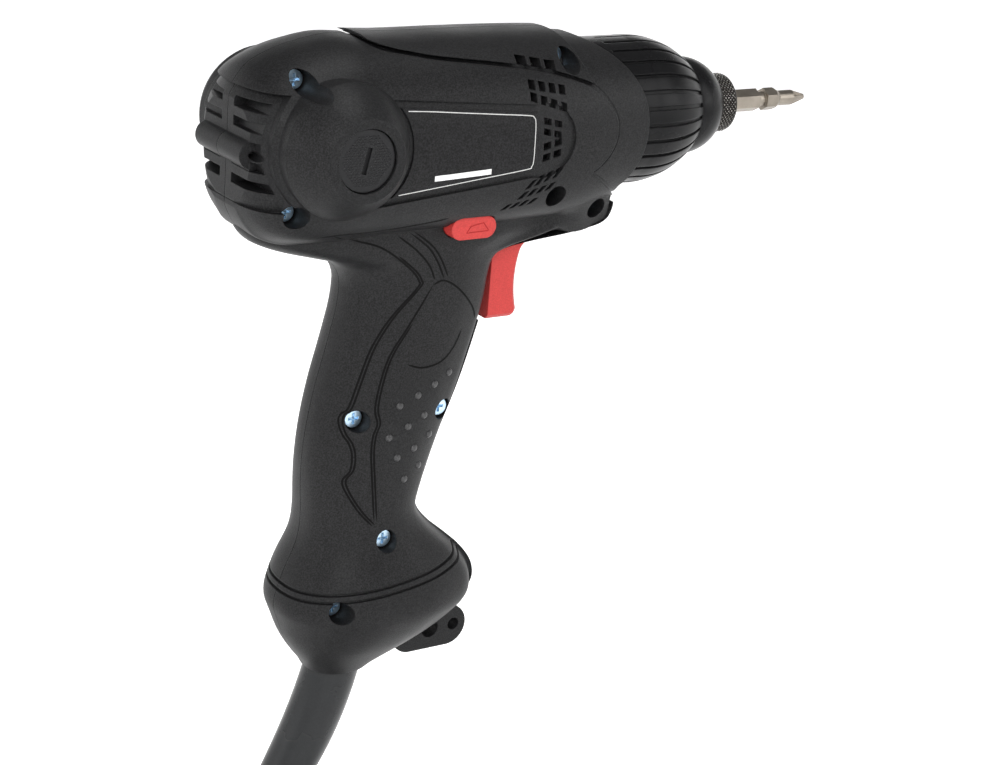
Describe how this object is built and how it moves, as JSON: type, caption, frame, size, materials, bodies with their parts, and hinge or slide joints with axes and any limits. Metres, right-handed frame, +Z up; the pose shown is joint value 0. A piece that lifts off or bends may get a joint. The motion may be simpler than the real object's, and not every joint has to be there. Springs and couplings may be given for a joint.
{
  "type": "corded impact screwdriver",
  "caption": "Pistol-grip mains impact screwdriver: split plastic housing, fluted nose, quick-change hex collar and bit, trigger, reversing button, bend guard and coiled cord with plug.",
  "frame": {"origin": "middle of the palm grip, on the seam, where a hand or a holder's jaw takes it", "axes": "+X along the spindle towards the bit, +Y to the tool's left, +Z up along the grip"},
  "size_m": [0.2322, 0.1617, 0.3306],
  "materials": {
    "housing_plastic": "fine-grained black moulding",
    "nose_plastic": "satin black moulding",
    "cap_plastic": "matte with a woven face",
    "red_plastic": "matte red moulding",
    "inner_plastic": "plain moulding",
    "label_film": "printed film with no text",
    "tie_plastic": "ribbed strap",
    "cord_rubber": "satin black",
    "lead_insulation": "plain",
    "blue_zinc": "blue zinc plate",
    "tool_steel": "ground steel",
    "lamination_steel": "stacked laminations",
    "spring_steel": "drawn wire",
    "dark_steel": "blackened, knurled",
    "bit_steel": "warm grey, oiled",
    "copper": "enamelled wire",
    "bush_bronze": "sintered bronze",
    "pin_brass": "plain",
    "cast_aluminium": "die cast",
    "carbon": "pressed graphite"
  },
  "bodies": {
    "housing": {"right_housing": "housing_plastic", "left_housing": "housing_plastic", "housing_screws": "blue_zinc", "rating_label": "label_film", "stator_core": "lamination_steel", "field_coils": "copper", "rear_bearing": "tool_steel", "front_bearing": "tool_steel", "ring_gear": "tool_steel", "gearcase_plate": "cast_aluminium", "anvil_bush": "bush_bronze", "hammer_case": "cast_aluminium", "nose_sleeve": "nose_plastic", "nose_ring": "nose_plastic", "trigger_spring": "spring_steel", "switch_body": "inner_plastic", "capacitor": "inner_plastic", "switch_leads": "lead_insulation", "hanging_tab": "housing_plastic", "cord_clamp": "inner_plastic", "clamp_screws": "blue_zinc", "cord_guard": "cord_rubber", "cord_tail": "cord_rubber", "power_cord": "cord_rubber", "cord_coil": "cord_rubber", "cord_tie": "tie_plastic", "power_plug": "cord_rubber", "plug_pins": "pin_brass", "brush_cap_right": "cap_plastic", "brush_cap_left": "cap_plastic", "brush_holder_right": "pin_brass", "brush_holder_left": "pin_brass", "carbon_brush_right": "carbon", "carbon_brush_left": "carbon", "brush_spring_right": "spring_steel", "brush_spring_left": "spring_steel"},
    "rotor": {"armature_shaft": "tool_steel", "armature_core": "lamination_steel", "armature_winding": "copper", "commutator": "copper", "cooling_fan": "inner_plastic", "sun_pinion": "tool_steel"},
    "carrier": {"camshaft": "tool_steel", "planet_pins": "tool_steel", "cam_balls": "tool_steel", "hammer_spring": "spring_steel"},
    "planet_top": {"planet_gear_top": "tool_steel"},
    "planet_bottom": {"planet_gear_bottom": "tool_steel"},
    "hammer": {"hammer": "tool_steel"},
    "spindle": {"anvil": "tool_steel", "retaining_ring": "spring_steel", "detent_balls": "tool_steel", "collar_spring": "spring_steel"},
    "collar": {"bit_collar": "dark_steel"},
    "bit": {"screwdriver_bit": "bit_steel"},
    "trigger": {"trigger": "red_plastic"},
    "reverse": {"reverse_button": "red_plastic"}
  },
  "joints": [
    {"name": "carrier_spin", "type": "hinge", "parent": "housing", "child": "carrier", "pos_m": [0.0565, 0, 0.075], "axis": [1, 0, 0], "continuous": true},
    {"name": "rotor_spin", "type": "hinge", "parent": "housing", "child": "rotor", "pos_m": [0, 0, 0.075], "axis": [1, 0, 0], "continuous": true},
    {"name": "planet_top_spin", "type": "hinge", "parent": "carrier", "child": "planet_top", "pos_m": [0.0522, 0, 0.0858], "axis": [1, 0, 0], "continuous": true},
    {"name": "planet_bottom_spin", "type": "hinge", "parent": "carrier", "child": "planet_bottom", "pos_m": [0.0522, 0, 0.0642], "axis": [1, 0, 0], "continuous": true},
    {"name": "hammer_slide", "type": "slide", "parent": "carrier", "child": "hammer", "axis": [-1, 0, 0], "range_m": [0, 0.006], "stiffness_N_per_m": 3000, "springref_m": -0.004, "deforming": ["hammer_spring"]},
    {"name": "spindle_spin", "type": "hinge", "parent": "housing", "child": "spindle", "pos_m": [0.1, 0, 0.075], "axis": [1, 0, 0], "continuous": true},
    {"name": "collar_slide", "type": "slide", "parent": "spindle", "child": "collar", "axis": [1, 0, 0], "range_m": [0, 0.003], "stiffness_N_per_m": 500, "springref_m": -0.004, "deforming": ["collar_spring"]},
    {"name": "bit_pull", "type": "slide", "parent": "spindle", "child": "bit", "axis": [1, 0, 0], "range_m": [0, 0.035]},
    {"name": "trigger_press", "type": "slide", "parent": "housing", "child": "trigger", "axis": [-1, 0, 0], "range_m": [0, 0.007], "stiffness_N_per_m": 800, "springref_m": -0.006, "deforming": ["trigger_spring"]},
    {"name": "reverse_slide", "type": "slide", "parent": "housing", "child": "reverse", "axis": [0, 1, 0], "range_m": [0, 0.005]}
  ],
  "couplings": [
    {"joint": "rotor_spin", "follows": "carrier_spin", "ratio": 6},
    {"joint": "planet_top_spin", "follows": "carrier_spin", "ratio": -2.5},
    {"joint": "planet_bottom_spin", "follows": "carrier_spin", "ratio": -2.5},
    {"joint": "spindle_spin", "follows": "carrier_spin", "ratio": 1}
  ]
}
